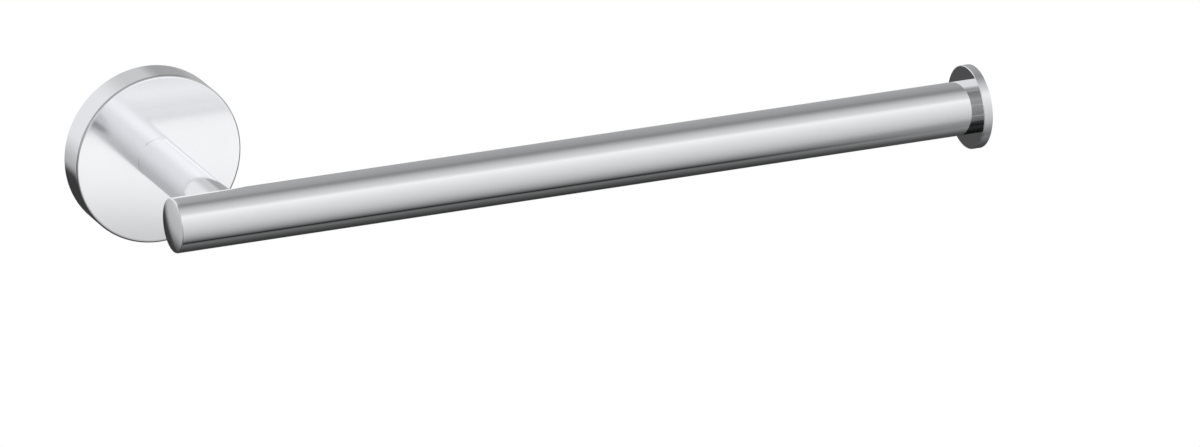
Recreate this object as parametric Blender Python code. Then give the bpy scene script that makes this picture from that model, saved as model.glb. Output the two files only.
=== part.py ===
# Wall-mounted paper towel holder: a round wall flange, a short post that stands
# out of it, and a straight bar that carries the roll, with a small disc at the
# free end. The roll slides on over the disc, and nothing on the holder moves.
#
# Units are metres. X runs along the bar to its free end, -Y points out of the
# wall and Z is up. The origin is on the wall, in the middle of the flange.

import math

import bmesh
import bpy

MM = 0.001

# Driving dimensions
BAR_RADIUS = 10.0 * MM
BAR_WALL = 1.5 * MM
BAR_REACH = 80.0 * MM            # wall to the bar's axis
BAR_LEFT = -22.0 * MM            # closed end, left of the post
ROLL_STOP = 292.5 * MM           # inner face of the end disc
POST_RADIUS = 8.0 * MM
FLANGE_RADIUS = 32.0 * MM
FLANGE_DEPTH = 12.5 * MM
FLANGE_SHEET = 1.0 * MM
FLANGE_EDGE = 0.8 * MM           # rounding of the front edge
DISC_RADIUS = 15.6 * MM
DISC_THICKNESS = 3.5 * MM
SEAM = 0.3 * MM                  # gap between pieces that touch
SCREW_PLAY = 0.35 * MM           # radial play of a screw in its hole
OVERRUN = 1.0 * MM               # how far a cutter runs past what it cuts

# Fasteners
TIE_SCREW_RADIUS = 2.95 * MM     # M6, clamps flange, post and bar together
TIE_SCREW_HEX = 5.0 * MM         # across the flats of its socket
TIE_SCREW_HEAD_RADIUS = 5.0 * MM
TIE_SCREW_HEAD_HEIGHT = 3.6 * MM
WASHER_RADIUS = 5.8 * MM
WASHER_THICKNESS = 1.0 * MM
SET_SCREW_RADIUS = 2.45 * MM     # M5, locks the flange to the wall plate
SET_SCREW_LENGTH = 16.0 * MM
SET_SCREW_HEX = 2.5 * MM
SET_SCREW_BITE = 0.2 * MM        # how far its point goes into the plate's groove
STUD_RADIUS = 2.45 * MM          # M5, holds the end disc
STUD_BACK = 22.0 * MM            # stud's ends, both measured back from the disc's inner face
STUD_FRONT = 1.5 * MM
PIN_RADIUS = 1.0 * MM
PIN_OFFSET = 5.6 * MM
PIN_IN_HUB = 2.0 * MM
PIN_IN_POST = 5.0 * MM
WALL_SCREW_RADIUS = 1.9 * MM
WALL_SCREW_OFFSET = 20.0 * MM
WALL_SCREW_REACH = 17.0 * MM     # how far a wall screw goes into the wall
WALL_SCREW_POINT = 4.0 * MM
WALL_SCREW_HEAD_RADIUS = 3.9 * MM
WALL_SCREW_HEAD_HEIGHT = 2.6 * MM
RECESS_LENGTH = 4.0 * MM         # cross recess in a wall screw's head
RECESS_WIDTH = 1.0 * MM

# Wall plate
PLATE_THICKNESS = 2.0 * MM
PLATE_LENGTH = 54.0 * MM
PLATE_HEIGHT = 26.0 * MM
COLLAR_SIZE = 24.0 * MM
COLLAR_CORNER = 3.0 * MM
COLLAR_DEPTH = 7.0 * MM          # wall to the collar's front
COLLAR_BORE_RADIUS = 7.5 * MM
SLOT_RADIUS = 2.5 * MM
SLOT_TRAVEL = 3.0 * MM
SET_SCREW_DEPTH = 4.6 * MM       # wall to the set screw's axis
GROOVE_DEPTH = 1.0 * MM
GROOVE_HALF_WIDTH = 1.6 * MM

# Hub, the casting inside the flange
HUB_WEB_BACK = 8.2 * MM
HUB_WALL = 3.0 * MM
HUB_OVERLAP = 1.0 * MM           # how deep the socket's walls and the boss run into each other
HUB_BOSS_WIDTH = 9.0 * MM
HUB_BOSS_FOOT = 30.2 * MM        # flange's axis to the boss's lower end
HUB_BOSS_BACK = 0.6 * MM         # wall to the boss's back

# Pieces in and on the bar
LID_THICKNESS = 2.0 * MM
LID_CROWN = 0.7 * MM
LID_EDGE = 0.5 * MM
LID_SPIGOT = 5.1 * MM
INSERT_HALF_LENGTH = 13.0 * MM
END_INSERT_LENGTH = 16.0 * MM
DISC_SPIGOT = 6.5 * MM
DISC_BORE_DEPTH = 5.3 * MM
DISC_EDGE = 0.25 * MM

ROUND_STEPS = 72
SMALL_STEPS = 24
SMOOTH_ANGLE = math.radians(35)


def clear_scene():
    for item in list(bpy.data.objects):
        bpy.data.objects.remove(item, do_unlink=True)


def metal(name, colour, roughness):
    material = bpy.data.materials.new(name)
    material.use_nodes = True
    shader = material.node_tree.nodes["Principled BSDF"]
    shader.inputs["Base Color"].default_value = (*colour, 1.0)
    shader.inputs["Metallic"].default_value = 1.0
    shader.inputs["Roughness"].default_value = roughness
    return material


def frame(name, location, rotation):
    empty = bpy.data.objects.new(name, None)
    empty.location = location
    empty.rotation_euler = rotation
    bpy.context.collection.objects.link(empty)
    return empty


def add_object(name, bm, parent, material=None):
    bmesh.ops.recalc_face_normals(bm, faces=bm.faces)
    mesh = bpy.data.meshes.new(name)
    bm.to_mesh(mesh)
    bm.free()
    mesh.shade_smooth()
    mesh.set_sharp_from_angle(angle=SMOOTH_ANGLE)
    if material:
        mesh.materials.append(material)
    item = bpy.data.objects.new(name, mesh)
    item.parent = parent
    bpy.context.collection.objects.link(item)
    return item


def arc(centre, radius, start, end, steps):
    # Points of an arc around centre, with the angles in degrees.
    points = []
    for i in range(steps + 1):
        angle = math.radians(start + (end - start) * i / steps)
        points.append((centre[0] + radius * math.cos(angle), centre[1] + radius * math.sin(angle)))
    return points


def rounded_rectangle(width, height, corner, steps=8):
    points = []
    for i, (sx, sy) in enumerate([(1, 1), (-1, 1), (-1, -1), (1, -1)]):
        centre = (sx * (width / 2 - corner), sy * (height / 2 - corner))
        points += arc(centre, corner, 90 * i, 90 * (i + 1), steps)
    return points


def turned(name, outline, parent, material=None, steps=ROUND_STEPS):
    # Spins an outline of (radius, height) points around Z. An outline that
    # starts and ends on the axis makes a solid piece, any other one a ring.
    bm = bmesh.new()
    verts = [bm.verts.new((radius, 0.0, height)) for radius, height in outline]
    edges = [bm.edges.new(pair) for pair in zip(verts, verts[1:])]
    if outline[0][0] > 0.0:
        edges.append(bm.edges.new((verts[-1], verts[0])))
    bmesh.ops.spin(bm, geom=verts + edges, cent=(0, 0, 0), axis=(0, 0, 1),
                   angle=math.tau, steps=steps, use_merge=True)
    bmesh.ops.remove_doubles(bm, verts=bm.verts, dist=0.0001 * MM)
    return add_object(name, bm, parent, material)


def extruded(name, outline, bottom, top, parent, material=None):
    bm = bmesh.new()
    face = bm.faces.new([bm.verts.new((x, y, bottom)) for x, y in outline])
    grown = bmesh.ops.extrude_face_region(bm, geom=[face], use_keep_orig=True)
    moved = [part for part in grown["geom"] if isinstance(part, bmesh.types.BMVert)]
    bmesh.ops.translate(bm, verts=moved, vec=(0, 0, top - bottom))
    return add_object(name, bm, parent, material)


def combine(target, tool, operation):
    modifier = target.modifiers.new(tool.name, "BOOLEAN")
    modifier.operation = operation
    modifier.solver = "EXACT"
    modifier.object = tool
    tool.hide_render = True
    tool.display_type = "WIRE"


def drill(target, radius, bottom, top, location=(0, 0, 0), rotation=(0, 0, 0), steps=SMALL_STEPS):
    # Cuts a round hole along the tool's own Z, from bottom to top.
    outline = [(0, bottom), (radius, bottom), (radius, top), (0, top)]
    tool = turned("cut_" + target.name, outline, target.parent, steps=steps)
    tool.location = location
    tool.rotation_euler = rotation
    combine(target, tool, "DIFFERENCE")


def rod(radius, bottom, top, chamfer):
    return [(0, bottom), (radius - chamfer, bottom), (radius, bottom + chamfer),
            (radius, top - chamfer), (radius - chamfer, top), (0, top)]


def sleeve(radius, bore, bottom, top, chamfer):
    return [(bore, bottom), (radius - chamfer, bottom), (radius, bottom + chamfer),
            (radius, top - chamfer), (radius - chamfer, top), (bore, top)]


def hexagon(across_flats):
    return arc((0, 0), across_flats / math.sqrt(3), 0, 300, 5)


def slot(length_way, centre):
    # A slot's outline, along X when length_way is 0 and along Y when it is 90.
    turn = math.radians(length_way)
    half = SLOT_TRAVEL / 2
    along = (half * math.cos(turn), half * math.sin(turn))
    first = (centre + along[0], along[1])
    second = (centre - along[0], -along[1])
    return (arc(first, SLOT_RADIUS, length_way - 90, length_way + 90, 12)
            + arc(second, SLOT_RADIUS, length_way + 90, length_way + 270, 12))


# Pieces behind and on the flange. Their frame has X along the bar, Y up and Z
# out of the wall.

DOWN = (math.pi / 2, 0, 0)                     # turns a piece's Z to the flange's underside
ACROSS_BELOW = (math.pi / 2, 0, -math.pi / 2)  # turns a piece's X down and its Z along the bar


def make_wall_plate(wall, steel):
    outline = rounded_rectangle(PLATE_LENGTH, PLATE_HEIGHT, PLATE_HEIGHT / 2, 16)
    plate = extruded("wall_plate", outline, 0, PLATE_THICKNESS, wall, steel)
    block = rounded_rectangle(COLLAR_SIZE, COLLAR_SIZE, COLLAR_CORNER)
    collar = extruded("add_collar", block, PLATE_THICKNESS / 2, COLLAR_DEPTH, wall)
    combine(plate, collar, "UNION")
    drill(plate, COLLAR_BORE_RADIUS, PLATE_THICKNESS, COLLAR_DEPTH + OVERRUN)
    for side, length_way in ((-1, 0), (1, 90)):
        hole = extruded("cut_slot", slot(length_way, side * WALL_SCREW_OFFSET),
                        -OVERRUN, PLATE_THICKNESS + OVERRUN, wall)
        combine(plate, hole, "DIFFERENCE")
    # Groove across the collar's underside, where the set screw's point bears
    below = COLLAR_SIZE / 2
    triangle = [(below - GROOVE_DEPTH, SET_SCREW_DEPTH),
                (below + GROOVE_DEPTH, SET_SCREW_DEPTH - 2 * GROOVE_HALF_WIDTH),
                (below + GROOVE_DEPTH, SET_SCREW_DEPTH + 2 * GROOVE_HALF_WIDTH)]
    groove = extruded("cut_groove", triangle, -COLLAR_SIZE, COLLAR_SIZE, wall)
    groove.rotation_euler = ACROSS_BELOW
    combine(plate, groove, "DIFFERENCE")


def make_wall_screws(wall, steel):
    head_back = PLATE_THICKNESS + SEAM
    head_front = head_back + WALL_SCREW_HEAD_HEIGHT
    rounding = 1.2 * MM
    outline = [(0, -WALL_SCREW_REACH), (WALL_SCREW_RADIUS, WALL_SCREW_POINT - WALL_SCREW_REACH),
               (WALL_SCREW_RADIUS, head_back), (WALL_SCREW_HEAD_RADIUS, head_back)]
    outline += arc((WALL_SCREW_HEAD_RADIUS - rounding, head_front - rounding), rounding, 0, 90, 5)
    outline.append((0, head_front))
    for name, side in (("wall_screw_left", -1), ("wall_screw_right", 1)):
        screw = turned(name, outline, wall, steel, SMALL_STEPS)
        screw.location = (side * WALL_SCREW_OFFSET, 0, 0)
        for turn in (0, math.pi / 2):
            arm = extruded("cut_recess", rounded_rectangle(RECESS_LENGTH, RECESS_WIDTH, 0.2 * MM, 2),
                           head_back + 1 * MM, head_front + OVERRUN, wall)
            arm.location = screw.location
            arm.rotation_euler = (0, 0, turn)
            combine(screw, arm, "DIFFERENCE")


def make_flange_cover(wall, chrome):
    edge_centre = (FLANGE_RADIUS - FLANGE_EDGE, FLANGE_DEPTH - FLANGE_EDGE)
    inside = FLANGE_RADIUS - FLANGE_SHEET
    floor = FLANGE_DEPTH - FLANGE_SHEET
    fillet = 0.6 * MM
    bore = TIE_SCREW_RADIUS + SCREW_PLAY
    outline = [(bore, floor), (bore, FLANGE_DEPTH)]
    outline += arc(edge_centre, FLANGE_EDGE, 90, 0, 4)
    outline += [(FLANGE_RADIUS, 0), (inside, 0), (inside, floor - fillet), (inside - fillet, floor)]
    cover = turned("flange_cover", outline, wall, chrome)
    drill_pins(cover, floor - OVERRUN, FLANGE_DEPTH + OVERRUN)
    drill(cover, SET_SCREW_RADIUS + SCREW_PLAY, inside - 2 * OVERRUN, FLANGE_RADIUS + OVERRUN,
          (0, 0, SET_SCREW_DEPTH), DOWN)


def drill_pins(target, bottom, top):
    for side in (-1, 1):
        drill(target, PIN_RADIUS + SEAM, bottom, top, (0, side * PIN_OFFSET, 0))


def make_flange_hub(wall, zinc):
    web_front = FLANGE_DEPTH - FLANGE_SHEET - SEAM
    radius = FLANGE_RADIUS - FLANGE_SHEET - SEAM
    hub = turned("flange_hub", rod(radius, HUB_WEB_BACK, web_front, 0.6 * MM), wall, zinc)
    # Square socket that fits over the wall plate's collar
    socket = COLLAR_SIZE + 2 * SEAM
    outer = socket + 2 * HUB_WALL
    front = HUB_WEB_BACK + HUB_OVERLAP
    back = PLATE_THICKNESS + SEAM
    walls = extruded("add_socket", rounded_rectangle(outer, outer, COLLAR_CORNER + HUB_WALL),
                     back, front, wall)
    combine(hub, walls, "UNION")
    # Boss that carries the set screw down to the flange's rim
    top = outer / 2 - HUB_OVERLAP
    half = HUB_BOSS_WIDTH / 2
    corners = [(-half, -HUB_BOSS_FOOT), (half, -HUB_BOSS_FOOT), (half, -top), (-half, -top)]
    boss = extruded("add_boss", corners, HUB_BOSS_BACK, front, wall)
    combine(hub, boss, "UNION")
    hollow = extruded("cut_socket", rounded_rectangle(socket, socket, COLLAR_CORNER + SEAM),
                      back - OVERRUN, HUB_WEB_BACK, wall)
    combine(hub, hollow, "DIFFERENCE")
    drill(hub, TIE_SCREW_RADIUS + SCREW_PLAY, HUB_WEB_BACK - OVERRUN, web_front + OVERRUN)
    drill(hub, SET_SCREW_RADIUS + SEAM, socket / 2 - OVERRUN, HUB_BOSS_FOOT + OVERRUN,
          (0, 0, SET_SCREW_DEPTH), DOWN)
    drill_pins(hub, web_front - PIN_IN_HUB - SEAM, web_front + OVERRUN)


def make_set_screw(wall, steel):
    tip = COLLAR_SIZE / 2 - SET_SCREW_BITE
    end = tip + SET_SCREW_LENGTH
    point, chamfer = 0.8 * MM, 0.4 * MM
    outline = [(0, tip), (point, tip), (SET_SCREW_RADIUS, tip + SET_SCREW_RADIUS - point),
               (SET_SCREW_RADIUS, end - chamfer), (SET_SCREW_RADIUS - chamfer, end), (0, end)]
    screw = turned("set_screw", outline, wall, steel, SMALL_STEPS)
    screw.location = (0, 0, SET_SCREW_DEPTH)
    screw.rotation_euler = DOWN
    socket = extruded("cut_set_screw", hexagon(SET_SCREW_HEX), end - SET_SCREW_HEX, end + OVERRUN, wall)
    socket.location = screw.location
    socket.rotation_euler = DOWN
    combine(screw, socket, "DIFFERENCE")


def make_lock_washer(wall, steel):
    # Split ring, with its gap on the +X side
    outer = arc((0, 0), WASHER_RADIUS, 4, 356, 48)
    inner = arc((0, 0), TIE_SCREW_RADIUS + SEAM, 352, 8, 48)
    top = HUB_WEB_BACK - SEAM
    extruded("lock_washer", outer + inner, top - WASHER_THICKNESS, top, wall, steel)


def make_post_screw(wall, steel):
    head_front = HUB_WEB_BACK - WASHER_THICKNESS - 2 * SEAM
    head_back = head_front - TIE_SCREW_HEAD_HEIGHT
    head, chamfer = TIE_SCREW_HEAD_RADIUS, 0.5 * MM
    tip = BAR_REACH + 4 * MM
    outline = [(0, head_back), (head - chamfer, head_back), (head, head_back + chamfer),
               (head, head_front), (TIE_SCREW_RADIUS, head_front),
               (TIE_SCREW_RADIUS, tip - chamfer), (TIE_SCREW_RADIUS - chamfer, tip), (0, tip)]
    screw = turned("post_screw", outline, wall, steel, SMALL_STEPS)
    socket = extruded("cut_post_screw", hexagon(TIE_SCREW_HEX),
                      head_back - OVERRUN, head_back + 0.6 * TIE_SCREW_HEAD_HEIGHT, wall)
    combine(screw, socket, "DIFFERENCE")


def make_locating_pins(wall, steel):
    front = FLANGE_DEPTH + SEAM + PIN_IN_POST
    back = FLANGE_DEPTH - FLANGE_SHEET - SEAM - PIN_IN_HUB
    for name, side in (("locating_pin_upper", 1), ("locating_pin_lower", -1)):
        pin = turned(name, rod(PIN_RADIUS, back, front, 0.25 * MM), wall, steel, SMALL_STEPS)
        pin.location = (0, side * PIN_OFFSET, 0)


def make_post(wall, chrome):
    base = FLANGE_DEPTH + SEAM
    outline = sleeve(POST_RADIUS, TIE_SCREW_RADIUS + SCREW_PLAY, base, BAR_REACH - BAR_RADIUS / 2, 0.15 * MM)
    post = turned("post", outline, wall, chrome, 64)
    # Saddle that the bar lies in
    drill(post, BAR_RADIUS + SEAM, -2 * POST_RADIUS, 2 * POST_RADIUS,
          (0, 0, BAR_REACH), (0, math.pi / 2, 0), ROUND_STEPS)
    drill_pins(post, base - OVERRUN, base + PIN_IN_POST + SEAM)


# Pieces of the bar. Their frame has Z along the bar, and Y still points to the
# wall, so a hole along Y meets the post.

TO_WALL = (-math.pi / 2, 0, 0)   # turns a piece's Z to the wall


def make_bar_tube(bar, chrome):
    left = BAR_LEFT + LID_THICKNESS + SEAM
    right = ROLL_STOP - SEAM
    outline = [(BAR_RADIUS - BAR_WALL, left), (BAR_RADIUS, left),
               (BAR_RADIUS, right), (BAR_RADIUS - BAR_WALL, right)]
    tube = turned("bar_tube", outline, bar, chrome)
    drill(tube, TIE_SCREW_RADIUS + SCREW_PLAY, BAR_RADIUS / 2, BAR_RADIUS + OVERRUN, rotation=TO_WALL)


def make_bar_insert(bar, steel):
    radius = BAR_RADIUS - BAR_WALL - SEAM
    insert = turned("bar_insert", rod(radius, -INSERT_HALF_LENGTH, INSERT_HALF_LENGTH, 0.8 * MM), bar, steel, 48)
    drill(insert, TIE_SCREW_RADIUS + SEAM, -6 * MM, BAR_RADIUS, rotation=TO_WALL)


def make_bar_end_cap(bar, chrome):
    # A crowned lid with a spigot that is pressed into the tube
    rim = BAR_RADIUS - LID_EDGE
    ball = (rim * rim + LID_CROWN * LID_CROWN) / (2 * LID_CROWN)
    sweep = math.degrees(math.asin(rim / ball))
    outline = [(0, BAR_LEFT)]
    outline += arc((0, BAR_LEFT + ball), ball, 270, 270 + sweep, 3)[1:]
    outline += arc((rim, BAR_LEFT + LID_CROWN + LID_EDGE), LID_EDGE, 285, 360, 3)
    spigot, chamfer = BAR_RADIUS - BAR_WALL - SEAM, 0.6 * MM
    back = BAR_LEFT + LID_THICKNESS
    end = back + LID_SPIGOT
    outline += [(BAR_RADIUS, back), (spigot, back), (spigot, end - chamfer), (spigot - chamfer, end), (0, end)]
    turned("bar_end_cap", outline, bar, chrome)


def make_end_insert(bar, steel):
    radius = BAR_RADIUS - BAR_WALL - SEAM
    front = ROLL_STOP - DISC_SPIGOT - SEAM
    turned("end_insert", sleeve(radius, STUD_RADIUS + SEAM, front - END_INSERT_LENGTH, front, 0.6 * MM),
           bar, steel, 48)


def make_end_disc(bar, chrome):
    # The disc with a short spigot that centres it in the tube
    spigot, chamfer = BAR_RADIUS - BAR_WALL - SEAM, 0.5 * MM
    back = ROLL_STOP - DISC_SPIGOT
    front = ROLL_STOP + DISC_THICKNESS
    bore, bore_end = STUD_RADIUS + SEAM, back + DISC_BORE_DEPTH
    face = DISC_RADIUS - DISC_EDGE
    outline = [(0, bore_end), (bore, bore_end), (bore, back), (spigot - chamfer, back),
               (spigot, back + chamfer), (spigot, ROLL_STOP), (face, ROLL_STOP),
               (DISC_RADIUS, ROLL_STOP + DISC_EDGE), (DISC_RADIUS, front - DISC_EDGE), (face, front),
               (0, front)]
    turned("end_disc", outline, bar, chrome)


def make_disc_stud(bar, steel):
    turned("disc_stud", rod(STUD_RADIUS, ROLL_STOP - STUD_BACK, ROLL_STOP - STUD_FRONT, 0.5 * MM),
           bar, steel, SMALL_STEPS)


def build():
    clear_scene()
    chrome = metal("chrome", (0.78, 0.79, 0.81), 0.08)
    zinc = metal("zinc", (0.55, 0.56, 0.57), 0.45)
    steel = metal("steel", (0.48, 0.48, 0.49), 0.35)

    wall = frame("wall_frame", (0, 0, 0), (math.pi / 2, 0, 0))
    make_wall_plate(wall, steel)
    make_wall_screws(wall, steel)
    make_flange_cover(wall, chrome)
    make_flange_hub(wall, zinc)
    make_set_screw(wall, steel)
    make_lock_washer(wall, steel)
    make_post_screw(wall, steel)
    make_locating_pins(wall, steel)
    make_post(wall, chrome)

    bar = frame("bar_frame", (0, -BAR_REACH, 0), (0, math.pi / 2, 0))
    make_bar_tube(bar, chrome)
    make_bar_insert(bar, steel)
    make_bar_end_cap(bar, chrome)
    make_end_insert(bar, steel)
    make_end_disc(bar, chrome)
    make_disc_stud(bar, steel)


build()
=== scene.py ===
import math
import bmesh
import bpy
from mathutils import Matrix, Vector


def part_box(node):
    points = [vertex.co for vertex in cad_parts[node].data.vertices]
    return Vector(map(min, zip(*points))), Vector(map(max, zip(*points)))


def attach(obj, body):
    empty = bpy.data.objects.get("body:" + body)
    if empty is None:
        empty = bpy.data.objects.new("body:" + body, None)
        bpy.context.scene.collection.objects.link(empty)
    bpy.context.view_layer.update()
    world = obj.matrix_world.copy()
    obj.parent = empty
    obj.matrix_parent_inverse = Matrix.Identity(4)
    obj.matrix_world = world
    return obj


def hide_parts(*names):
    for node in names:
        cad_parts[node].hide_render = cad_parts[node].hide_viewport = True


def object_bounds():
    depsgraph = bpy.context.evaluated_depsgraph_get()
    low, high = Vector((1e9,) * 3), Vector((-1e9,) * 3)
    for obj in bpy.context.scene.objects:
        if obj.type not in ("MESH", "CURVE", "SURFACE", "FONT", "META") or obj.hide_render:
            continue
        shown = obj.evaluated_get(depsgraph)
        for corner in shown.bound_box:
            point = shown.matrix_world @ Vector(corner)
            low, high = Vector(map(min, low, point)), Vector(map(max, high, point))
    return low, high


# Chrome paper towel holder: wall flange, post, bar and end disc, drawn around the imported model
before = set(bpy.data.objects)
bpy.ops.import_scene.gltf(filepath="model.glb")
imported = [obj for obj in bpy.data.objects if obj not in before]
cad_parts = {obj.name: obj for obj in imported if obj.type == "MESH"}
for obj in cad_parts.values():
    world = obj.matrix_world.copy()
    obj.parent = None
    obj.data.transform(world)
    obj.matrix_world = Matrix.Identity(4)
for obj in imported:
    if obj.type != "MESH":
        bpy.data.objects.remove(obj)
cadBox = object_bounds()
print("frame loaded:", len(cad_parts), "nodes")


def middle(node):
    low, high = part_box(node)
    return (low + high) / 2


def srgb(value):
    # display grey, 0 to 1, to scene-linear
    return value / 12.92 if value <= 0.04045 else ((value + 0.055) / 1.055) ** 2.4


cameraSetup = {
    "aim": (0.14692, -0.07554, -0.02553),
    "azimuth": -24.0,   # seen from the left of the bar
    "elevation": 20.0,
    "distance": 3.307,
    "lens": 272.7,
}


def placeCamera(setup):
    turn = math.radians(setup["azimuth"])
    rise = math.radians(setup["elevation"])
    back = Vector((math.sin(turn) * math.cos(rise), -math.cos(turn) * math.cos(rise), math.sin(rise)))
    data = bpy.data.cameras.new("camera")
    data.lens = setup["lens"]
    data.sensor_width = 36.0
    data.clip_end = 60.0
    camera = bpy.data.objects.new("camera", data)
    camera.location = Vector(setup["aim"]) + back * setup["distance"]
    camera.rotation_euler = (-back).to_track_quat("-Z", "Y").to_euler()
    bpy.context.collection.objects.link(camera)
    bpy.context.scene.camera = camera


placeCamera(cameraSetup)
print("camera placed")

# Outlines are (radius, height) points, and height runs along the axis that a piece is turned on
outOfWall = Matrix.Rotation(math.pi / 2, 4, "X")
alongBar = Matrix.Translation((0, middle("bar_tube").y, 0)) @ Matrix.Rotation(math.pi / 2, 4, "Y")
downKeyHole = Matrix.Translation((0, middle("set_screw").y, 0)) @ Matrix.Rotation(math.pi, 4, "X")


def arc(centre, radius, start, end, steps):
    points = []
    for i in range(steps + 1):
        angle = math.radians(start + (end - start) * i / steps)
        points.append((centre[0] + radius * math.cos(angle), centre[1] + radius * math.sin(angle)))
    return points


def roundedSquare(width, height, corner, steps=8):
    points = []
    for i, (sideX, sideY) in enumerate([(1, 1), (-1, 1), (-1, -1), (1, -1)]):
        centre = (sideX * (width / 2 - corner), sideY * (height / 2 - corner))
        points += arc(centre, corner, 90 * i, 90 * (i + 1), steps)
    return points


def hexagon(acrossFlats):
    return arc((0, 0), acrossFlats / math.sqrt(3), 0, 300, 5)


def spinOutline(outline, steps):
    bm = bmesh.new()
    points = [bm.verts.new((radius, 0.0, height)) for radius, height in outline]
    edges = [bm.edges.new(pair) for pair in zip(points, points[1:])]
    if outline[0][0] > 0.0:
        edges.append(bm.edges.new((points[-1], points[0])))
    bmesh.ops.spin(bm, geom=points + edges, cent=(0, 0, 0), axis=(0, 0, 1),
                   angle=math.tau, steps=steps, use_merge=True)
    bmesh.ops.remove_doubles(bm, verts=bm.verts, dist=1e-7)
    bmesh.ops.recalc_face_normals(bm, faces=bm.faces)
    return bm


def growOutline(outline, bottom, top):
    bm = bmesh.new()
    face = bm.faces.new([bm.verts.new((x, y, bottom)) for x, y in outline])
    grown = bmesh.ops.extrude_face_region(bm, geom=[face], use_keep_orig=True)
    moved = [part for part in grown["geom"] if isinstance(part, bmesh.types.BMVert)]
    bmesh.ops.translate(bm, verts=moved, vec=(0, 0, top - bottom))
    bmesh.ops.recalc_face_normals(bm, faces=bm.faces)
    return bm


def turnThread(rows, pitch, ridge, steps=48):
    # rows are (height, root radius, crest radius); the crest winds round as a helix
    bm = bmesh.new()
    rings = []
    for height, root, crest in rows:
        ring = []
        for i in range(steps):
            angle = math.tau * i / steps
            phase = (height / pitch - i / steps) % 1.0
            rise = max(0.0, 1.0 - abs(phase - 0.5) / ridge)
            radius = root + (crest - root) * rise
            ring.append(bm.verts.new((radius * math.cos(angle), radius * math.sin(angle), height)))
        rings.append(ring)
    for lower, upper in zip(rings, rings[1:]):
        for i in range(steps):
            nextOne = (i + 1) % steps
            bm.faces.new((lower[i], lower[nextOne], upper[nextOne], upper[i]))
    bm.faces.new(list(reversed(rings[0])))
    bm.faces.new(rings[-1])
    return bm


def newPiece(name, bm, place=Matrix.Identity(4)):
    bm.transform(place)
    mesh = bpy.data.meshes.new(name)
    bm.to_mesh(mesh)
    bm.free()
    piece = bpy.data.objects.new(name, mesh)
    bpy.context.collection.objects.link(piece)
    return piece


def combine(piece, tool, operation="DIFFERENCE"):
    # cuts the tool out of the piece, or joins it on, for good, and removes the tool
    modifier = piece.modifiers.new("combine", "BOOLEAN")
    modifier.operation = operation
    modifier.solver = "EXACT"
    modifier.object = tool
    bpy.context.view_layer.update()
    shaped = piece.evaluated_get(bpy.context.evaluated_depsgraph_get())
    mesh = bpy.data.meshes.new_from_object(shaped)
    piece.modifiers.clear()
    piece.data = mesh
    bpy.data.objects.remove(tool)


def drill(piece, radius, bottom, top, place, steps=64):
    outline = [(0, bottom), (radius, bottom), (radius, top), (0, top)]
    combine(piece, newPiece("tool", spinOutline(outline, steps), place))


def softenEdges(piece, width, segments=2):
    modifier = piece.modifiers.new("soft edges", "BEVEL")
    modifier.width = width
    modifier.segments = segments
    modifier.limit_method = "ANGLE"
    modifier.angle_limit = math.radians(40)
    modifier.harden_normals = True


def finishPiece(piece, node, material, sharpAngle=30):
    piece.data.shade_smooth()
    piece.data.set_sharp_from_angle(angle=math.radians(sharpAngle))
    piece.data.materials.clear()
    piece.data.materials.append(material)
    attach(piece, "root")
    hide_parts(node)


def startMaterial(name, colour, metallic, roughness):
    material = bpy.data.materials.new(name)
    material.use_nodes = True
    tree = material.node_tree
    shader = tree.nodes["Principled BSDF"]
    shader.inputs["Base Color"].default_value = (*colour, 1.0)
    shader.inputs["Metallic"].default_value = metallic
    shader.inputs["Roughness"].default_value = roughness
    return material, tree, shader


def setInput(tree, socket, value):
    if isinstance(value, bpy.types.NodeSocket):
        tree.links.new(value, socket)
    else:
        socket.default_value = value


def addNode(tree, kind, settings=None, **inputs):
    node = tree.nodes.new(kind)
    for key, value in (settings or {}).items():
        setattr(node, key, value)
    for key, value in inputs.items():
        setInput(tree, node.inputs[key.replace("_", " ")], value)
    return node


def mathNode(tree, operation, first, second=0.0, third=0.0):
    node = addNode(tree, "ShaderNodeMath", {"operation": operation})
    for socket, value in zip(node.inputs, (first, second, third)):
        setInput(tree, socket, value)
    return node.outputs[0]


def mapRange(tree, value, fromLow, fromHigh, toLow=0.0, toHigh=1.0, smooth=True):
    node = tree.nodes.new("ShaderNodeMapRange")
    node.interpolation_type = "SMOOTHSTEP" if smooth else "LINEAR"
    tree.links.new(value, node.inputs["Value"])
    node.inputs["From Min"].default_value = fromLow
    node.inputs["From Max"].default_value = fromHigh
    node.inputs["To Min"].default_value = toLow
    node.inputs["To Max"].default_value = toHigh
    return node.outputs["Result"]


def mixColour(tree, amount, first, second):
    node = addNode(tree, "ShaderNodeMix", {"data_type": "RGBA"})
    for index, value in ((0, amount), (6, first), (7, second)):
        setInput(tree, node.inputs[index], value)
    return node.outputs[2]


def fillRamp(ramp, stops):
    # stops are (position, colour), and a new ramp already holds two
    elements = ramp.color_ramp.elements
    for index, (position, colour) in enumerate(stops):
        stop = elements[index] if index < 2 else elements.new(position)
        stop.position = position
        stop.color = colour


def cameraSees(tree, path, hidden, shown):
    # the camera sees the second shader, and everything else the first
    choose = addNode(tree, "ShaderNodeMixShader")
    tree.links.new(path.outputs["Is Camera Ray"], choose.inputs[0])
    tree.links.new(hidden.outputs[0], choose.inputs[1])
    tree.links.new(shown.outputs[0], choose.inputs[2])
    return choose.outputs[0]


def fromAxis(tree, first, second):
    # distance from an axis, out of the two offsets across it
    squares = mathNode(tree, "ADD", mathNode(tree, "POWER", first, 2.0),
                       mathNode(tree, "POWER", second, 2.0))
    return mathNode(tree, "SQRT", squares)


def objectPlace(tree, stretch=(1.0, 1.0, 1.0)):
    # where a point lies on the piece, with the grain pulled long by small numbers
    place = addNode(tree, "ShaderNodeTexCoord")
    mapping = addNode(tree, "ShaderNodeMapping", Vector=place.outputs["Object"], Scale=stretch)
    return mapping.outputs["Vector"]


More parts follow.
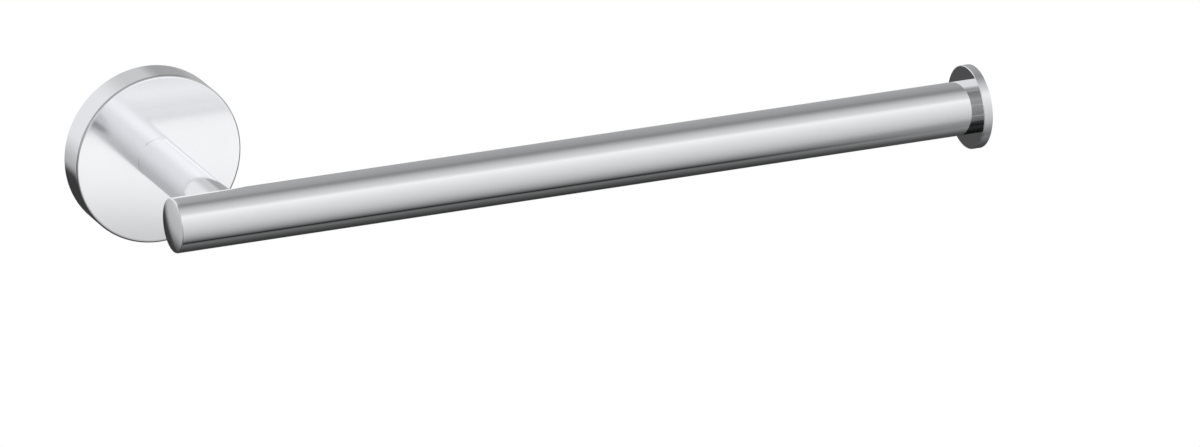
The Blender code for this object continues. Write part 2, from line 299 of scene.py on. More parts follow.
polish = {
    "smearScale": 55.0,
    "lineScale": 2600.0,
    "lineShare": 0.35,          # how much the fine lines count beside the smears
    "glossFrom": (0.45, 0.9),
    "rippleHeight": 0.0001,
    "lineHeight": 0.000002,
}


def polishedChrome(name, finish):
    material, tree, shader = startMaterial(name, finish["colour"], 1.0, finish["gloss"][0])
    smears = addNode(tree, "ShaderNodeTexNoise", Vector=objectPlace(tree),
                     Scale=polish["smearScale"], Detail=4.0)
    lines = addNode(tree, "ShaderNodeTexNoise", Vector=objectPlace(tree, finish["polishWay"]),
                    Scale=polish["lineScale"], Detail=2.0)
    both = mathNode(tree, "MULTIPLY_ADD", lines.outputs["Fac"], polish["lineShare"], smears.outputs["Fac"])
    gloss = mapRange(tree, both, *polish["glossFrom"], *finish["gloss"], smooth=False)
    tree.links.new(gloss, shader.inputs["Roughness"])
    ripple = addNode(tree, "ShaderNodeTexNoise", Vector=objectPlace(tree),
                     Scale=finish["rippleScale"], Detail=2.0)
    swell = addNode(tree, "ShaderNodeBump", Height=ripple.outputs["Fac"],
                    Strength=finish["ripple"], Distance=polish["rippleHeight"])
    marks = addNode(tree, "ShaderNodeBump", Height=lines.outputs["Fac"], Strength=finish["lineDepth"],
                    Distance=polish["lineHeight"], Normal=swell.outputs["Normal"])
    tree.links.new(marks.outputs["Normal"], shader.inputs["Normal"])
    return material


chromeFinish = {
    "bar": {"colour": (0.90, 0.905, 0.915), "gloss": (0.045, 0.075), "ripple": 0.02, "rippleScale": 90.0,
            "polishWay": (0.02, 1.0, 1.0), "lineDepth": 0.05},
    "post": {"colour": (0.90, 0.90, 0.92), "gloss": (0.05, 0.08), "ripple": 0.02, "rippleScale": 90.0,
             "polishWay": (1.0, 0.02, 1.0), "lineDepth": 0.05},
    "flange": {"colour": (0.87, 0.87, 0.89), "gloss": (0.11, 0.145), "ripple": 0.02, "rippleScale": 70.0,
               "polishWay": (1.0, 1.0, 1.0), "lineDepth": 0.05,
               # edgeWidth and edgeShade set the painted shade along the front edge
               "edgeWidth": 0.0007, "edgeShade": 0.6},
}
barChrome = polishedChrome("bar chrome", chromeFinish["bar"])
postChrome = polishedChrome("post chrome", chromeFinish["post"])
flangeChrome = polishedChrome("flange chrome", chromeFinish["flange"])


def shadeFlangeEdge(material, finish):
    # painted shade: the front edge's base colour is painted darker, standing in for the darker surroundings
    # that its rounding mirrors
    tree = material.node_tree
    shader = tree.nodes["Principled BSDF"]
    low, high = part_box("flange_cover")
    place = addNode(tree, "ShaderNodeTexCoord")
    parts = addNode(tree, "ShaderNodeSeparateXYZ", Vector=place.outputs["Object"])
    distance = fromAxis(tree, parts.outputs["X"], parts.outputs["Z"])
    width = finish["edgeWidth"]
    start = high.x - width
    nearRim = mapRange(tree, distance, start, start + width / 4)
    nearFace = mapRange(tree, parts.outputs["Y"], low.y + width, low.y + width * 0.75)
    # the painted shade colour of the edge, the plating colour darkened by edgeShade
    paintedEdgeShade = [level * finish["edgeShade"] for level in finish["colour"]]
    onEdge = mathNode(tree, "MULTIPLY", nearRim, nearFace)
    tint = mixColour(tree, onEdge, (*finish["colour"], 1.0), (*paintedEdgeShade, 1.0))
    tree.links.new(tint, shader.inputs["Base Color"])


shadeFlangeEdge(flangeChrome, chromeFinish["flange"])
print("chrome mixed")

flange = {
    "sheet": 0.001,
    "edge": 0.0008,
    "holdLine": 0.0004,
    "fold": 0.0006,         # inside rounding between face and rim
    "bore": 0.0033,
    "ringSteps": 256,
    "keyHole": 0.0028,      # hole for the hex key, in the underside
}


def makeFlangeCover(spec):
    low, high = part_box("flange_cover")
    radius = (high.x - low.x) / 2
    depth = high.y - low.y
    sheet, edge, hold, fold = spec["sheet"], spec["edge"], spec["holdLine"], spec["fold"]
    floor = depth - sheet
    outline = [(spec["bore"], floor), (spec["bore"], depth), (radius - edge - hold, depth)]
    outline += arc((radius - edge, depth - edge), edge, 90, 0, 10)
    outline += [(radius, depth - edge - hold), (radius, 2 * hold), (radius, hold / 2),
                (radius - hold / 2, 0.0), (radius - sheet, 0.0)]
    outline += [(radius - sheet, floor - fold - hold)]
    outline += arc((radius - sheet - fold, floor - fold), fold, 0, 90, 5)
    cover = newPiece("flangeCover", spinOutline(outline, spec["ringSteps"]), outOfWall)
    drill(cover, spec["keyHole"], radius - 3 * sheet, radius + sheet, downKeyHole)
    finishPiece(cover, "flange_cover", flangeChrome)


makeFlangeCover(flange)
print("flange cover turned")

post = {"ringSteps": 192, "bore": 0.0033, "saddleBite": 0.00003, "footEdge": 0.0002}


def makePost(spec):
    low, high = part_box("post")
    radius = (high.x - low.x) / 2
    base = -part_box("flange_cover")[0].y
    barLow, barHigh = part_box("bar_tube")
    barRadius = (barHigh.z - barLow.z) / 2
    reach = -middle("bar_tube").y
    foot = spec["footEdge"]
    outline = [(spec["bore"], base), (radius - foot, base), (radius, base + foot),
               (radius, base + 8 * foot), (radius, reach), (spec["bore"], reach)]
    piece = newPiece("post", spinOutline(outline, spec["ringSteps"]), outOfWall)
    drill(piece, barRadius - spec["saddleBite"], -3 * radius, 3 * radius, alongBar, 256)
    finishPiece(piece, "post", postChrome)


makePost(post)
print("post turned and saddled")

bar = {
    "ringSteps": 256,
    "wall": 0.0015,
    "capLid": 0.002,
    "crown": 0.0007,        # how far the closed end bulges
    "capEdge": 0.0005,
    "play": 0.0003,
}
disc = {"thickness": 0.0035, "edge": 0.00028, "ringSteps": 256, "holdLine": 0.0003, "bore": 0.00275}


def makeBarTube(spec):
    low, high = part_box("bar_tube")
    radius = (high.z - low.z) / 2
    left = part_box("bar_end_cap")[0].x + spec["capLid"]
    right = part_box("end_disc")[1].x - disc["thickness"]
    inside = radius - spec["wall"]
    rings = 24
    outline = [(inside, left)]
    outline += [(radius, left + (right - left) * i / rings) for i in range(rings + 1)]
    outline.append((inside, right))
    tube = newPiece("barTube", spinOutline(outline, spec["ringSteps"]), alongBar)
    finishPiece(tube, "bar_tube", barChrome)


def makeBarEndCap(spec):
    low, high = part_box("bar_end_cap")
    radius = (high.z - low.z) / 2
    crown, edge = spec["crown"], spec["capEdge"]
    rim = radius - edge
    ball = (rim * rim + crown * crown) / (2 * crown)
    sweep = math.degrees(math.asin(rim / ball))
    outline = [(0, low.x)]
    outline += arc((0, low.x + ball), ball, 270, 270 + sweep, 24)[1:]
    outline += arc((rim, low.x + crown + edge), edge, 270 + sweep, 360, 10)[1:]
    back = low.x + spec["capLid"]
    spigot = radius - spec["wall"] - spec["play"]
    chamfer = 2 * spec["play"]
    outline += [(radius, back), (spigot, back), (spigot, high.x - chamfer),
                (spigot - chamfer, high.x), (0, high.x)]
    cap = newPiece("barEndCap", spinOutline(outline, spec["ringSteps"]), alongBar)
    finishPiece(cap, "bar_end_cap", barChrome)


discFinish = {
    "colour": (0.88, 0.885, 0.90),
    "gloss": 0.06,                  # on the faces
    "rimGloss": 0.16,               # added to it on the rim
    "rimStart": (0.0004, 0.00015),  # in from the rim, where the rings begin
    "drift": 0.0006,                # how far a ring wanders in one radian
    "ringScale": 9000.0,
    "ringHeight": 0.00002,
    "ringDepth": 0.35,
}


def brushedRimChrome(name, finish):
    # polished faces; the rim keeps the fine rings that the lathe left round it
    material, tree, shader = startMaterial(name, finish["colour"], 1.0, 0.08)
    place = addNode(tree, "ShaderNodeTexCoord")
    parts = addNode(tree, "ShaderNodeSeparateXYZ", Vector=place.outputs["Object"])
    offset = mathNode(tree, "SUBTRACT", parts.outputs["Y"], middle("end_disc").y)
    distance = fromAxis(tree, offset, parts.outputs["Z"])
    low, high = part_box("end_disc")
    radius = (high.z - low.z) / 2
    onRim = mapRange(tree, distance, *[radius - inward for inward in finish["rimStart"]])
    around = mathNode(tree, "ARCTAN2", parts.outputs["Z"], offset)
    lathe = addNode(tree, "ShaderNodeCombineXYZ", X=parts.outputs["X"],
                    Y=mathNode(tree, "MULTIPLY", around, finish["drift"]), Z=0.0)
    rings = addNode(tree, "ShaderNodeTexNoise", Vector=lathe.outputs["Vector"],
                    Scale=finish["ringScale"], Detail=3.0)
    gloss = mathNode(tree, "MULTIPLY_ADD", onRim, finish["rimGloss"], finish["gloss"])
    tree.links.new(gloss, shader.inputs["Roughness"])
    bump = addNode(tree, "ShaderNodeBump", Height=rings.outputs["Fac"], Distance=finish["ringHeight"])
    tree.links.new(mathNode(tree, "MULTIPLY", onRim, finish["ringDepth"]), bump.inputs["Strength"])
    tree.links.new(bump.outputs["Normal"], shader.inputs["Normal"])
    return material


def makeEndDisc(spec):
    low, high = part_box("end_disc")
    radius = (high.z - low.z) / 2
    barLow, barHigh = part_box("bar_tube")
    inner = high.x - spec["thickness"]
    edge, hold, bore = spec["edge"], spec["holdLine"], spec["bore"]
    spigot = (barHigh.z - barLow.z) / 2 - bar["wall"] - bar["play"]
    boreEnd = inner - 4 * bar["play"]
    outline = [(0, boreEnd), (bore, boreEnd), (bore, low.x), (spigot - hold, low.x),
               (spigot, low.x + hold), (spigot, inner), (radius - edge - hold, inner)]
    outline += arc((radius - edge, inner + edge), edge, 270, 360, 6)
    outline += [(radius, inner + edge + hold), (radius, high.x - edge - hold)]
    outline += arc((radius - edge, high.x - edge), edge, 0, 90, 6)
    outline += [(radius - edge - hold, high.x), (0, high.x)]
    piece = newPiece("endDisc", spinOutline(outline, spec["ringSteps"]), alongBar)
    finishPiece(piece, "end_disc", brushedRimChrome("disc chrome", discFinish))


makeBarTube(bar)
makeBarEndCap(bar)
makeEndDisc(disc)
print("bar, cap and disc turned")


def plainMetal(name, finish):
    material, tree, shader = startMaterial(name, finish["colour"], 1.0, finish["gloss"][0])
    place = objectPlace(tree)
    clouds = addNode(tree, "ShaderNodeTexNoise", Vector=place, Scale=finish["cloudScale"], Detail=4.0)
    shade = [level * finish["darker"] for level in finish["colour"]]
    tint = mixColour(tree, mapRange(tree, clouds.outputs["Fac"], 0.35, 0.65),
                     (*shade, 1.0), (*finish["colour"], 1.0))
    tree.links.new(tint, shader.inputs["Base Color"])
    gloss = mapRange(tree, clouds.outputs["Fac"], 0.3, 0.7, *finish["gloss"], smooth=False)
    tree.links.new(gloss, shader.inputs["Roughness"])
    noise = addNode(tree, "ShaderNodeTexNoise", Vector=place, Scale=finish["grainScale"], Detail=6.0)
    bump = addNode(tree, "ShaderNodeBump", Height=noise.outputs["Fac"],
                   Strength=finish["grain"], Distance=0.0002)
    tree.links.new(bump.outputs["Normal"], shader.inputs["Normal"])
    return material


zincSteel = plainMetal("zinc plated steel", {
    "colour": (0.70, 0.70, 0.67), "darker": 0.82, "gloss": (0.26, 0.40),
    "cloudScale": 140.0, "grain": 0.08, "grainScale": 500.0})
castMetal = plainMetal("cast zinc alloy", {
    "colour": (0.52, 0.53, 0.54), "darker": 0.78, "gloss": (0.42, 0.58),
    "cloudScale": 90.0, "grain": 0.45, "grainScale": 900.0})
darkSteel = plainMetal("black oxide steel", {
    "colour": (0.11, 0.11, 0.12), "darker": 0.7, "gloss": (0.33, 0.48),
    "cloudScale": 200.0, "grain": 0.1, "grainScale": 700.0})

plate = {
    "thickness": 0.002,
    "collar": 0.024,
    "collarCorner": 0.003,
    "bore": 0.0075,
    "slotRadius": 0.0025,
    "slotTravel": 0.003,
    "softEdge": 0.00025,
}


def slotOutline(spec, centre, turn):
    way = math.radians(turn)
    half = spec["slotTravel"] / 2
    along = Vector((half * math.cos(way), half * math.sin(way)))
    first, second = Vector((centre, 0)) + along, Vector((centre, 0)) - along
    return (arc(first, spec["slotRadius"], turn - 90, turn + 90, 16)
            + arc(second, spec["slotRadius"], turn + 90, turn + 270, 16))


def makeWallPlate(spec):
    low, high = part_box("wall_plate")
    length, height, depth = high.x - low.x, high.z - low.z, high.y - low.y
    thick = spec["thickness"]
    flat = roundedSquare(length, height, height / 2, 24)
    piece = newPiece("wallPlate", growOutline(flat, 0, thick), outOfWall)
    block = roundedSquare(spec["collar"], spec["collar"], spec["collarCorner"])
    combine(piece, newPiece("tool", growOutline(block, thick / 2, depth), outOfWall), "UNION")
    drill(piece, spec["bore"], thick, depth + thick, outOfWall)
    for screw, turn in (("wall_screw_left", 0), ("wall_screw_right", 90)):
        hole = growOutline(slotOutline(spec, middle(screw).x, turn), -thick, 2 * thick)
        combine(piece, newPiece("tool", hole, outOfWall))
    softenEdges(piece, spec["softEdge"])
    finishPiece(piece, "wall_plate", zincSteel)


wallScrew = {
    "pitch": 0.0018,
    "crest": 0.0019,
    "rootShare": 0.68,
    "ridge": 0.3,           # half the thread's width, as a share of the pitch
    "rowsPerTurn": 12,
    "point": 0.0045,
    "tipShare": 0.08,       # how blunt the tip is
    "shank": 0.0005,
    "shankShare": 0.8,
    "shankFoot": 0.0004,
    "neck": 0.0002,
    "rounding": 0.0012,
    "recess": (0.004, 0.001),
    "recessDepth": 0.0016,
}


def makeWallScrew(name, node, spec):
    low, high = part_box(node)
    reach, front = high.y, -low.y
    headRadius = (high.x - low.x) / 2
    crest = spec["crest"]
    headBack = plate["thickness"] + bar["play"]
    tip, threadEnd = -reach, -spec["shank"]
    count = round((threadEnd - tip) / spec["pitch"] * spec["rowsPerTurn"])
    rows = []
    for i in range(count + 1):
        height = tip + (threadEnd - tip) * i / count
        share = min(1.0, spec["tipShare"] + (height - tip) / spec["point"])
        runOut = min(1.0, (threadEnd - height) / spec["pitch"])
        root = crest * spec["rootShare"] * share
        rows.append((height, root, root + (crest * share - root) * runOut))
    shank = crest * spec["shankShare"]
    rows += [(height, radius, radius) for radius, height in
             [(shank, threadEnd + spec["shankFoot"]), (shank, headBack - spec["neck"]),
              (headRadius, headBack)]]
    rounding = spec["rounding"]
    crown = arc((headRadius - rounding, front - rounding), rounding, 0, 80, 6)
    rows += [(height, radius, radius) for radius, height in crown]
    rows.append((front, headRadius / 3, headRadius / 3))
    place = Matrix.Translation((middle(node).x, 0, middle(node).z)) @ outOfWall
    piece = newPiece(name, turnThread(rows, spec["pitch"], spec["ridge"]), place)
    for turn in (0, 90):
        arm = growOutline(roundedSquare(*spec["recess"], spec["recess"][1] / 5, 3),
                          front - spec["recessDepth"], front + spec["recessDepth"])
        combine(piece, newPiece("tool", arm, place @ Matrix.Rotation(math.radians(turn), 4, "Z")))
    finishPiece(piece, node, zincSteel)


setScrew = {"pitch": 0.0008, "rowsPerTurn": 12, "rootShare": 0.84, "ridge": 0.5, "point": 0.0008,
            "socket": 0.0025, "chamfer": 0.0005}


def makeSetScrew(spec):
    low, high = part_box("set_screw")
    radius = (high.x - low.x) / 2
    tip, end = -high.z, -low.z
    root = radius * spec["rootShare"]
    coneTop = tip + root - spec["point"]
    rows = [(tip, spec["point"], spec["point"])]
    first, last = coneTop, end - spec["chamfer"]
    count = round((last - first) / spec["pitch"] * spec["rowsPerTurn"])
    for i in range(count + 1):
        height = first + (last - first) * i / count
        swell = min(1.0, (height - first) / spec["pitch"])
        rows.append((height, root, root + (radius - root) * swell))
    rows.append((end, root, root))
    piece = newPiece("setScrew", turnThread(rows, spec["pitch"], spec["ridge"]), downKeyHole)
    socket = growOutline(hexagon(spec["socket"]), end - spec["socket"], end + spec["chamfer"])
    combine(piece, newPiece("tool", socket, downKeyHole))
    finishPiece(piece, "set_screw", darkSteel)


hub = {
    "webBack": 0.0082,
    "wall": 0.003,
    "bossWidth": 0.009,
    "bossFoot": 0.0302,
    "bossBack": 0.0006,
    "play": 0.0003,
    "overlap": 0.001,       # how far a tool reaches past what it cuts or joins
    "screwBore": 0.00275,   # for the set screw
    "pinMark": 0.0022,
    "pinMarkDepth": 0.0002,
    "pinMarkRing": 0.0255,  # their distance from the middle
    "softEdge": 0.0004,
}


def makeFlangeHub(spec):
    low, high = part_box("flange_hub")
    radius, front = (high.x - low.x) / 2, -low.y
    webBack, play, over = spec["webBack"], spec["play"], spec["overlap"]
    web = [(0, webBack), (radius, webBack), (radius, front), (0, front)]
    piece = newPiece("flangeHub", spinOutline(web, 160), outOfWall)
    socket = plate["collar"] + 2 * play
    outer = socket + 2 * spec["wall"]
    back = plate["thickness"] + play
    walls = roundedSquare(outer, outer, plate["collarCorner"] + spec["wall"])
    joint = webBack + over
    combine(piece, newPiece("tool", growOutline(walls, back, joint), outOfWall), "UNION")
    half, foot, top = spec["bossWidth"] / 2, spec["bossFoot"], outer / 2 - over
    boss = [(-half, -foot), (half, -foot), (half, -top), (-half, -top)]
    combine(piece, newPiece("tool", growOutline(boss, spec["bossBack"], joint), outOfWall), "UNION")
    hollow = roundedSquare(socket, socket, plate["collarCorner"] + play)
    combine(piece, newPiece("tool", growOutline(hollow, back - over, webBack), outOfWall))
    drill(piece, post["bore"], webBack - over, front + over, outOfWall)
    drill(piece, spec["screwBore"], socket / 2 - over, foot + over, downKeyHole)
    outward = Matrix.Translation((spec["pinMarkRing"], 0, 0))
    for turn in (45, 135, 225, 315):   # shallow rounds that the mould's ejector pins left
        place = outOfWall @ Matrix.Rotation(math.radians(turn), 4, "Z") @ outward
        drill(piece, spec["pinMark"], webBack - over, webBack + spec["pinMarkDepth"], place, 32)
    softenEdges(piece, spec["softEdge"])
    finishPiece(piece, "flange_hub", castMetal)


makeWallPlate(plate)
makeWallScrew("wallScrewLeft", "wall_screw_left", wallScrew)
makeWallScrew("wallScrewRight", "wall_screw_right", wallScrew)
makeSetScrew(setScrew)
makeFlangeHub(hub)
print("wall plate, hub and screws made")

# Pieces that are sealed inside keep their shape
sealedPieces = {
    "lock_washer": zincSteel, "post_screw": darkSteel, "disc_stud": zincSteel,
    "locating_pin_upper": zincSteel, "locating_pin_lower": zincSteel,
    "bar_insert": zincSteel, "end_insert": zincSteel,
}
for nodeName, metal in sealedPieces.items():
    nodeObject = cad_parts[nodeName]
    nodeObject.data.materials.clear()
    nodeObject.data.materials.append(metal)
print("sealed pieces painted")

plating = 0.905             # share of light that the plating sends back
secondBounce = (2.2, 2.8)   # ray depth at which second reflections start


def cardGrey(value):
    level = srgb(value) / plating
    return (level, level, level, 1.0)


studio = {
    # angle round the bar, from straight ahead (0) over the top (90) to behind (180), and its grey
    "aroundBar": [
        (-180, 0.67), (-170, 0.70), (-160, 0.62), (-150, 0.27), (-122, 0.205), (-106, 0.27), (-94, 0.32),
        (-84, 0.385), (-76, 0.42), (-71, 0.34), (-67, 0.05), (-63, 0.25), (-58, 0.40), (-52, 0.495),
        (-45, 0.575), (-38, 0.635), (-25, 0.72), (-13, 0.77), (0, 0.815), (22, 0.872), (36, 0.913),
        (50, 0.95), (54, 0.91), (62, 0.832), (75, 0.775), (88, 0.686), (96, 0.60), (104, 0.53), (111, 0.54),
        (120, 0.578), (130, 0.60), (165, 0.64),
    ],
    "tint": (0.992, 0.996, 1.008),
    "leftNear": 0.79,               # grey behind the holder, just left of it
    "leftFar": 0.905,               # and far to the left
    "leftMid": 0.70,                # just above the dark ground on the left
    "leftBase": 0.225,              # the ground itself
    "rightBase": (0.545, 0.29),     # low on the right, in front and behind
    "rightBaseShare": 0.85,
    "rightBox": (0.42, 0.93),       # low and high on the far right
    "secondFront": (0.10, 0.32),    # light added low and high in second reflections, in front
    "secondLeft": 0.4,              # its share towards the left
    "secondCard": 0.5,              # light added where they meet the face light
    "secondBehind": (0.95, 0.62),   # and behind, towards the wall
    "discWay": -0.42,               # where the end disc, seen in the bar, looks to the left
    "discShade": (0.68, 0.62, 0.24),    # how much darker it is there: up high, low, and lower still
    "bend": -0.34,                  # how far left the ground's far edge bends
    "climb": (-0.65, -0.2),         # how that edge climbs, this side of the bend and beyond it
}
# where one tone fades into the next: x runs along the bar, y towards the wall, z up
fade = {
    "rightBaseX": (0.395, 0.42),
    "rightBaseY": (-0.4, 0.4),
    "rightBaseZ": (-0.45, -0.75),
    "rightBoxX": (0.6, 0.8),
    "rightBoxZ": (-0.6, 0.3),
    "leftFarX": (0.07, -0.25),
    "ground": (-0.232, -0.078),
    "aboveGround": (-0.1, 0.25),
    "leftX": (0.38, 0.25),
    "leftY": (0.1, 0.5),
    "secondFrontX": (-0.2, 0.3),
    "secondFrontZ": (-0.3, 0.4),
    "secondCardX": (0.15, 0.3),
    "secondCardZ": (-0.2, -0.33),
    "secondBehindX": (-0.3, -0.15),
    "secondBehindY": (-0.1, 0.2),
    "secondBehindZ": (-0.9, 0.0),
    "discWay": (0.06, 0.03),
    "discHighY": (0.15, -0.15),
    "discHighZ": (0.32, 0.42),
    "discLowZ": (-0.30, -0.40),
    "discLowerZ": (-0.62, -0.70),
}


def leftSide(tree, setup, grey, x, z):
    # the ground's far edge climbs away to the left, less steeply beyond the bend
    glow = mixColour(tree, mapRange(tree, x, *fade["leftFarX"]),
                     grey(setup["leftNear"]), grey(setup["leftFar"]))
    near, far = setup["climb"]
    steep = mathNode(tree, "MULTIPLY_ADD", mathNode(tree, "MAXIMUM", x, setup["bend"]), near, z)
    beyond = mathNode(tree, "MINIMUM", mathNode(tree, "SUBTRACT", x, setup["bend"]), 0.0)
    slope = mathNode(tree, "MULTIPLY_ADD", beyond, far, steep)
    ground = mixColour(tree, mapRange(tree, slope, *fade["ground"]),
                       grey(setup["leftBase"]), grey(setup["leftMid"]))
    return mixColour(tree, mapRange(tree, slope, *fade["aboveGround"]), ground, glow)


def secondLight(tree, setup, x, y, z):
    # light that second reflections get on top, in front and behind
    front = mathNode(tree, "MULTIPLY", mapRange(tree, z, *fade["secondFrontZ"], *setup["secondFront"]),
                     mapRange(tree, x, *fade["secondFrontX"], setup["secondLeft"], 1.0))
    card = mathNode(tree, "MULTIPLY", mapRange(tree, z, *fade["secondCardZ"], 0.0, setup["secondCard"]),
                    mapRange(tree, x, *fade["secondCardX"]))
    inFront = mathNode(tree, "ADD", front, card)
    behind = mathNode(tree, "MULTIPLY", mapRange(tree, z, *fade["secondBehindZ"], *setup["secondBehind"]),
                      mapRange(tree, x, *fade["secondBehindX"]))
    isBehind = mapRange(tree, y, *fade["secondBehindY"])
    added = addNode(tree, "ShaderNodeMix")
    for index, value in ((0, isBehind), (2, inFront), (3, behind)):
        tree.links.new(value, added.inputs[index])
    return added.outputs[0]


def discDimming(tree, setup, x, y, z):
    # what the end disc mirrors, when it is seen in the bar, is darker up high and down low
    offWay = mathNode(tree, "ABSOLUTE", mathNode(tree, "SUBTRACT", x, setup["discWay"]))
    onWay = mapRange(tree, offWay, *fade["discWay"])
    highShade, lowShade, lowerShade = setup["discShade"]
    high = mathNode(tree, "MULTIPLY", mapRange(tree, z, *fade["discHighZ"], 0.0, highShade),
                    mapRange(tree, y, *fade["discHighY"]))
    lower = mathNode(tree, "ADD", mapRange(tree, z, *fade["discLowZ"], 0.0, lowShade),
                     mapRange(tree, z, *fade["discLowerZ"], 0.0, lowerShade))
    return mathNode(tree, "ADD", high, lower), onWay


def lightStudio(setup):
    world = bpy.data.worlds.new("studio")
    bpy.context.scene.world = world
    world.use_nodes = True
    tree = world.node_tree
    tree.nodes.clear()

    def grey(value):
        level = srgb(value) / plating
        return (*[level * share for share in setup["tint"]], 1.0)

    def greyPair(name):
        return [grey(value) for value in setup[name]]

    place = addNode(tree, "ShaderNodeTexCoord")
    way = addNode(tree, "ShaderNodeSeparateXYZ", Vector=place.outputs["Generated"])
    x, y, z = way.outputs["X"], way.outputs["Y"], way.outputs["Z"]
    around = mathNode(tree, "ARCTAN2", z, mathNode(tree, "MULTIPLY", y, -1.0))
    share = mathNode(tree, "MULTIPLY_ADD", around, 0.5 / math.pi, 0.5)
    ramp = addNode(tree, "ShaderNodeValToRGB", Fac=share)
    fillRamp(ramp, [((angle + 180) / 360, grey(value)) for angle, value in setup["aroundBar"]])
    low = mathNode(tree, "MULTIPLY", mapRange(tree, x, *fade["rightBaseX"]),
                   mapRange(tree, z, *fade["rightBaseZ"]))
    rightBase = mixColour(tree, mapRange(tree, y, *fade["rightBaseY"]), *greyPair("rightBase"))
    withBase = mixColour(tree, mathNode(tree, "MULTIPLY", low, setup["rightBaseShare"]),
                         ramp.outputs["Color"], rightBase)
    rightBox = mixColour(tree, mapRange(tree, z, *fade["rightBoxZ"]), *greyPair("rightBox"))
    base = mixColour(tree, mapRange(tree, x, *fade["rightBoxX"]), withBase, rightBox)
    side = leftSide(tree, setup, grey, x, z)
    amount = mathNode(tree, "MULTIPLY", mapRange(tree, x, *fade["leftX"]),
                      mapRange(tree, y, *fade["leftY"]))
    path = addNode(tree, "ShaderNodeLightPath")
    second = mapRange(tree, path.outputs["Ray Depth"], *secondBounce)
    extra = mathNode(tree, "MULTIPLY", second, secondLight(tree, setup, x, y, z))
    shade, onWay = discDimming(tree, setup, x, y, z)
    dim = mathNode(tree, "MULTIPLY", shade, mathNode(tree, "MULTIPLY", onWay, second))
    whole = addNode(tree, "ShaderNodeVectorMath", {"operation": "ADD"})
    tree.links.new(mixColour(tree, amount, base, side), whole.inputs[0])
    tree.links.new(extra, whole.inputs[1])
    tone = addNode(tree, "ShaderNodeVectorMath", {"operation": "SCALE"})
    tree.links.new(whole.outputs["Vector"], tone.inputs[0])
    tree.links.new(mathNode(tree, "SUBTRACT", 1.0, dim), tone.inputs["Scale"])
    studioLight = addNode(tree, "ShaderNodeBackground", Color=tone.outputs["Vector"])
    paper = addNode(tree, "ShaderNodeBackground", Color=(1.0, 1.0, 1.0, 1.0))
    output = addNode(tree, "ShaderNodeOutputWorld")
    tree.links.new(cameraSees(tree, path, studioLight, paper), output.inputs["Surface"])


lightStudio(studio)
bpy.context.scene.view_settings.view_transform = "Standard"
bpy.context.scene.view_settings.look = "None"

faceLight = {
    "way": (0.382, -0.858, -0.342),   # from the flange's face to the light
    "distance": 0.35,
    "size": 0.42,
    "power": 0.28,
    "fade": (-0.036, -0.004),         # heights on the face between which it comes in
    "bounced": 0.5,                   # its share in second reflections
}


def lightFlangeFace(spec):
    # a soft card that only the flange sees
    low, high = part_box("flange_cover")
    way = Vector(spec["way"]).normalized()
    data = bpy.data.lights.new("face light", "AREA")
    data.shape = "SQUARE"
    data.size = spec["size"]
    data.energy = spec["power"]
    data.use_nodes = True
    tree = data.node_tree
    emission = next(node for node in tree.nodes if node.type == "EMISSION")
    position = addNode(tree, "ShaderNodeNewGeometry")
    parts = addNode(tree, "ShaderNodeSeparateXYZ", Vector=position.outputs["Position"])
    drop = way.z * spec["distance"]
    comesIn = mapRange(tree, parts.outputs["Z"], *[height + drop for height in spec["fade"]])
    path = addNode(tree, "ShaderNodeLightPath")
    deep = mapRange(tree, path.outputs["Ray Depth"], *secondBounce, 1.0, spec["bounced"])
    tree.links.new(mathNode(tree, "MULTIPLY", comesIn, deep), emission.inputs["Strength"])
    light = bpy.data.objects.new("face light", data)
    light.location = Vector((0, low.y, 0)) + way * spec["distance"]
    light.rotation_euler = way.to_track_quat("Z", "Y").to_euler()
    light.visible_camera = False
    bpy.context.collection.objects.link(light)
    lit = bpy.data.collections.new("lit by the face light")
    lit.objects.link(bpy.data.objects["flangeCover"])
    light.light_linking.receiver_collection = lit
    shading = bpy.data.collections.new("shades the face light")
    shading.objects.link(bpy.data.objects["flangeCover"])
    light.light_linking.blocker_collection = shading


lightFlangeFace(faceLight)


def startCard(name):
    material = bpy.data.materials.new(name)
    material.use_nodes = True
    material.node_tree.nodes.clear()
    return material, material.node_tree


def mirrorOnly(card, material, surface):
    # the card shows in reflections and nowhere else
    tree = material.node_tree
    output = addNode(tree, "ShaderNodeOutputMaterial")
    tree.links.new(surface, output.inputs["Surface"])
    card.data.materials.append(material)
    card.visible_camera = False
    card.visible_diffuse = False
    card.visible_shadow = False


darkCard = {"way": (-0.42, 0.845, -0.33), "distance": 0.5, "size": 0.05, "grey": 0.30}


def hangDarkCard(spec):
    # what the inner face of the end disc mirrors
    way = Vector(spec["way"]).normalized()
    inner = Vector((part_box("end_disc")[1].x - disc["thickness"], middle("end_disc").y, 0))
    turned = way.to_track_quat("Z", "Y").to_matrix().to_4x4()
    place = Matrix.Translation(inner + way * spec["distance"]) @ turned
    bm = bmesh.new()
    bmesh.ops.create_grid(bm, x_segments=1, y_segments=1, size=spec["size"])
    card = newPiece("darkCard", bm, place)
    material, tree = startCard("dark card")
    glow = addNode(tree, "ShaderNodeEmission", Color=cardGrey(spec["grey"]), Strength=1.0)
    mirrorOnly(card, material, glow.outputs[0])


hangDarkCard(darkCard)

frontFlag = {
    "ahead": 1.0,                 # in front of the bar's axis
    "across": (-0.26, -0.13),
    "height": (-0.44, 0.52),
    "greys": [(-0.44, 0.47), (0.0, 0.52), (0.42, 0.58)],   # height on the flag, and the grey there
    "fades": ((-0.34, -0.42), (0.40, 0.50)),
}


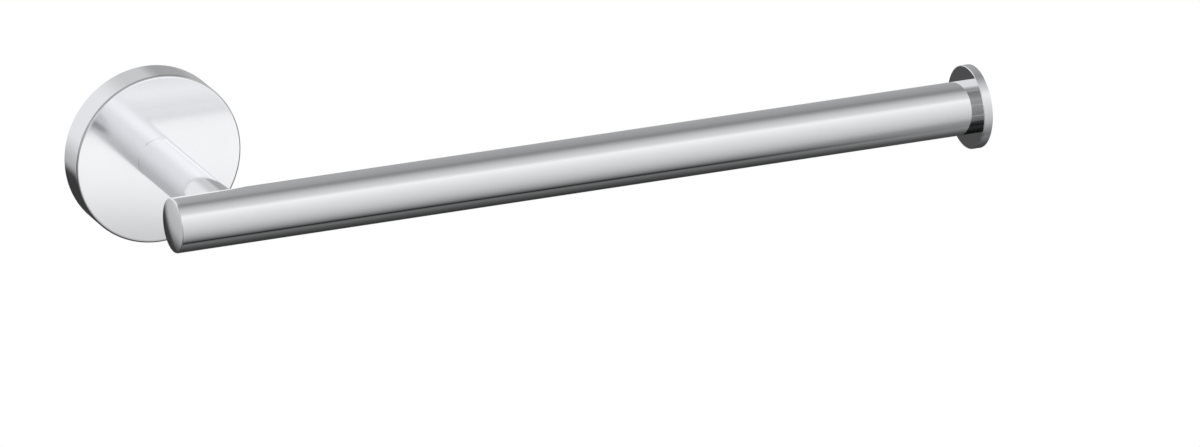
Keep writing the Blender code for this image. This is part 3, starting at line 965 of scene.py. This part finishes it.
def hangFrontFlag(spec):
    # a tall flag in front, which only the end disc's mirror image in the bar shows
    left, right = spec["across"]
    low, high = spec["height"]
    front = middle("end_disc").y - spec["ahead"]
    bm = bmesh.new()
    corners = ((left, front, low), (right, front, low), (right, front, high), (left, front, high))
    bm.faces.new([bm.verts.new(corner) for corner in corners])
    flag = newPiece("frontFlag", bm)
    material, tree = startCard("front flag")
    place = addNode(tree, "ShaderNodeTexCoord")
    parts = addNode(tree, "ShaderNodeSeparateXYZ", Vector=place.outputs["Object"])
    share = mapRange(tree, parts.outputs["Z"], low, high, smooth=False)
    ramp = addNode(tree, "ShaderNodeValToRGB", Fac=share)
    fillRamp(ramp, [((height - low) / (high - low), cardGrey(value)) for height, value in spec["greys"]])
    glow = addNode(tree, "ShaderNodeEmission", Color=ramp.outputs["Color"], Strength=1.0)
    clear = addNode(tree, "ShaderNodeBsdfTransparent")
    mix = addNode(tree, "ShaderNodeMixShader")
    ends = [mapRange(tree, parts.outputs["Z"], *fadeOut) for fadeOut in spec["fades"]]
    tree.links.new(mathNode(tree, "ADD", *ends), mix.inputs[0])
    tree.links.new(glow.outputs[0], mix.inputs[1])
    tree.links.new(clear.outputs[0], mix.inputs[2])
    mirrorOnly(flag, material, mix.outputs[0])


hangFrontFlag(frontFlag)


paleFloor = {"drop": 0.3, "size": 20.0, "colour": (0.94, 0.94, 0.94), "roughness": 0.8}


def layFloor(spec):
    bm = bmesh.new()
    bmesh.ops.create_grid(bm, x_segments=2, y_segments=2, size=spec["size"])
    floor = newPiece("floor", bm, Matrix.Translation((0, 0, cadBox[0].z - spec["drop"])))
    material, tree, shader = startMaterial("pale floor", spec["colour"], 0.0, spec["roughness"])
    path = addNode(tree, "ShaderNodeLightPath")
    paper = addNode(tree, "ShaderNodeEmission", Color=(1.0, 1.0, 1.0, 1.0), Strength=1.0)
    tree.links.new(cameraSees(tree, path, shader, paper), tree.nodes["Material Output"].inputs["Surface"])
    floor.data.materials.append(material)
    floor.visible_glossy = False


layFloor(paleFloor)
print("studio lit")
